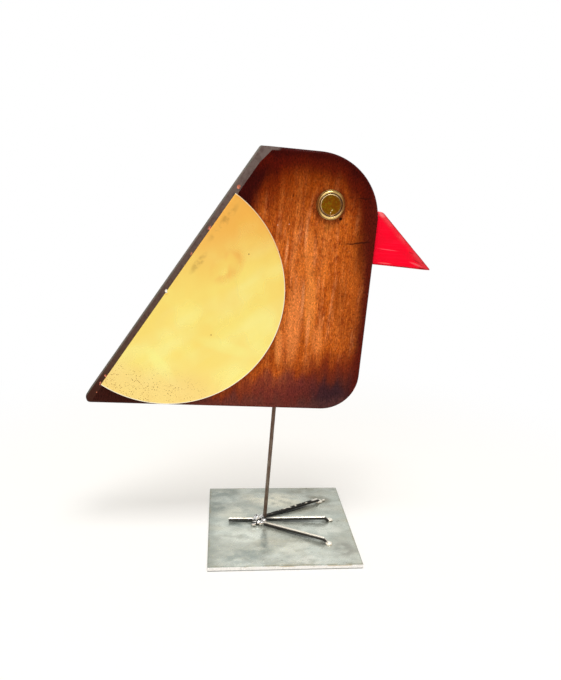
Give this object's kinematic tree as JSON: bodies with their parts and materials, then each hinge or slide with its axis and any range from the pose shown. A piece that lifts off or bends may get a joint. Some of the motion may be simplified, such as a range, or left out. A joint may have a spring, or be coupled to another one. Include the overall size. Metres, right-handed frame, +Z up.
{
  "type": "whirligig",
  "caption": "Flat wooden bird with brass half-disc wings, brass ring eyes and a red beak, turning on a thin steel leg that is welded to a square steel stand.",
  "frame": {"origin": "centre of the stand plate's underside", "axes": "+Z up, +X the way the bird looks at rest, +Y the bird's left"},
  "size_m": [0.2657, 0.12, 0.3114],
  "materials": {
    "plate_steel": "hot-rolled plate with grey-green mill scale",
    "leg_steel": "drawn rod, browned by rust and waxed",
    "toe_steel": "drawn rod, bare",
    "weld_metal": "bright weld metal",
    "stained_wood": "mahogany stain shaded dark towards the edges, under satin varnish",
    "painted_wood": "red brushed enamel on wood",
    "plain_wood": "bare beech dowel",
    "wing_brass": "buffed sheet under lacquer",
    "eye_brass": "turned and polished",
    "eye_centre": "tarnished",
    "sleeve_brass": "drawn, plain",
    "ball_steel": "hardened bearing ball"
  },
  "bodies": {
    "stand": {"base_plate": "plate_steel", "leg_rod": "leg_steel", "toe_middle": "toe_steel", "toe_right": "toe_steel", "toe_left": "toe_steel", "toe_rear": "toe_steel", "foot_weld": "weld_metal", "claw_welds": "weld_metal"},
    "bird": {"body_board": "stained_wood", "socket_sleeve": "sleeve_brass", "thrust_ball": "ball_steel", "wing_right": "wing_brass", "wing_left": "wing_brass", "wing_pins_right": "sleeve_brass", "wing_pins_left": "sleeve_brass", "eye_ring_right": "eye_brass", "eye_ring_left": "eye_brass", "eye_stud_right": "eye_centre", "eye_stud_left": "eye_centre", "beak": "painted_wood", "beak_dowel": "plain_wood"}
  },
  "joints": [
    {"name": "body_swivel", "type": "hinge", "parent": "stand", "child": "bird", "pos_m": [-0.00791, 0.005, 0.1112], "axis": [0.0419, 0, 0.9991], "continuous": true}
  ]
}
